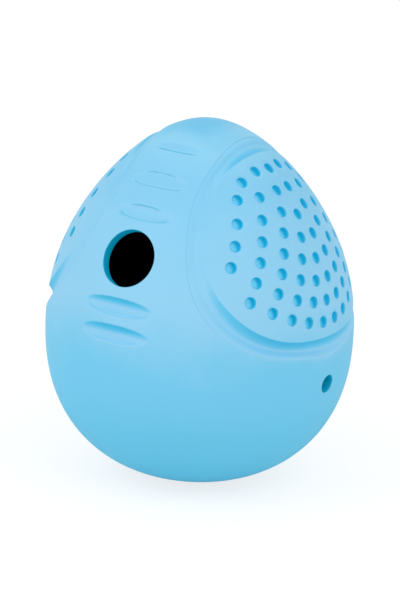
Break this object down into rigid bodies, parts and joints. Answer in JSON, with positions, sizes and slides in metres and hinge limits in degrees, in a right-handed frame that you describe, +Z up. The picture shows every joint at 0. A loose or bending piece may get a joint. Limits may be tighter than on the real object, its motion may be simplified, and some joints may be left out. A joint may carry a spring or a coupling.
{
  "type": "treat ball",
  "caption": "Egg-shaped rubber treat ball that rights itself and lets feed fall from a round side opening as it is rolled; dimpled side panels, finger grips, weighted base.",
  "frame": {"origin": "centre of the flat foot on the round end, on the surface the ball stands on", "axes": "+Z up along the egg to its narrow end, -Y out through the treat opening, +X and -X out through the two dimpled panels"},
  "size_m": [0.0932, 0.0932, 0.11],
  "materials": {
    "shell_rubber": "matt moulded natural rubber, sky blue",
    "floor_rubber": "matt moulded natural rubber, sky blue",
    "ballast_iron": "grey, as cast"
  },
  "bodies": {
    "root": {"rubber_shell": "shell_rubber", "ballast_weight": "ballast_iron", "chamber_floor": "floor_rubber"}
  },
  "joints": []
}
